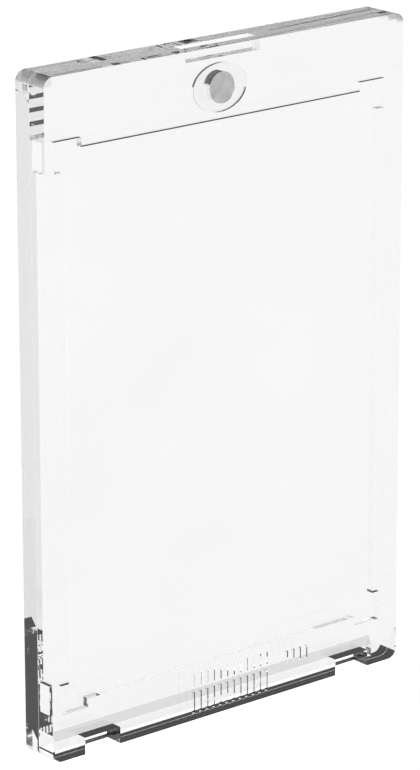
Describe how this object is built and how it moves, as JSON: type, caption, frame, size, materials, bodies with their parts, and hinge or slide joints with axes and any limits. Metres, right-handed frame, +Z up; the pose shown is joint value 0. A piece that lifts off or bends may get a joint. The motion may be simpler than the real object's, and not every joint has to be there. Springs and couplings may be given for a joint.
{
  "type": "trading card display case",
  "caption": "Clear rigid display case for one trading card: two flat shells that meet face to face, held by a magnet at the top and hooked on lugs at the bottom.",
  "frame": {"origin": "middle of the base, on the surface that the case stands on", "axes": "+X across the case to its right as seen from the front, +Y from the front face to the back face, +Z up"},
  "size_m": [0.0726, 0.007, 0.1104],
  "materials": {
    "clear_shell": "clear, polished",
    "clear_holder": "clear, polished",
    "magnet_plating": "satin nickel plate"
  },
  "bodies": {
    "rear": {"rear_shell": "clear_shell", "magnet_holder": "clear_holder", "magnet": "magnet_plating"},
    "cover": {"front_shell": "clear_shell", "keeper_disc": "magnet_plating"}
  },
  "joints": [
    {"name": "cover_hinge", "type": "hinge", "parent": "rear", "child": "cover", "pos_m": [0, -0.0035, 0], "axis": [1, 0, 0], "range_deg": [0, 90]}
  ]
}
